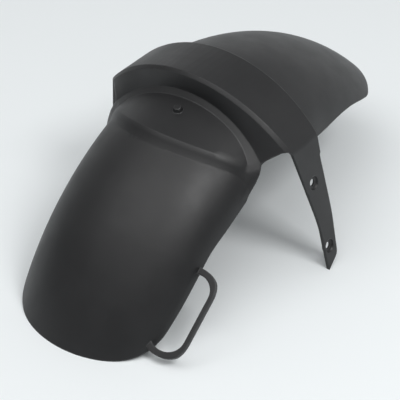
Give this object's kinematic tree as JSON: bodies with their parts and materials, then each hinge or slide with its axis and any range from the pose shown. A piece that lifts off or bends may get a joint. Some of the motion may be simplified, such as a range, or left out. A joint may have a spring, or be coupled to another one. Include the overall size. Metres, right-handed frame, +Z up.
{
  "type": "motorcycle front mudguard",
  "caption": "Motorcycle front mudguard moulded in one piece: rounded rear and front lobes, a stepped panel, a saddle band with splayed bolt-on legs and a side hose loop.",
  "frame": {"origin": "on the floor under the middle of the bounding box, the guard standing on its rear lip and two leg tips", "axes": "+Z up from the floor, +Y along the wheel towards the front lobe, +X to the side of the hose loop"},
  "size_m": [0.256, 0.4146, 0.1717],
  "materials": {
    "black_plastic": "matte, fine moulded grain"
  },
  "bodies": {
    "root": {"mudguard": "black_plastic"}
  },
  "joints": []
}
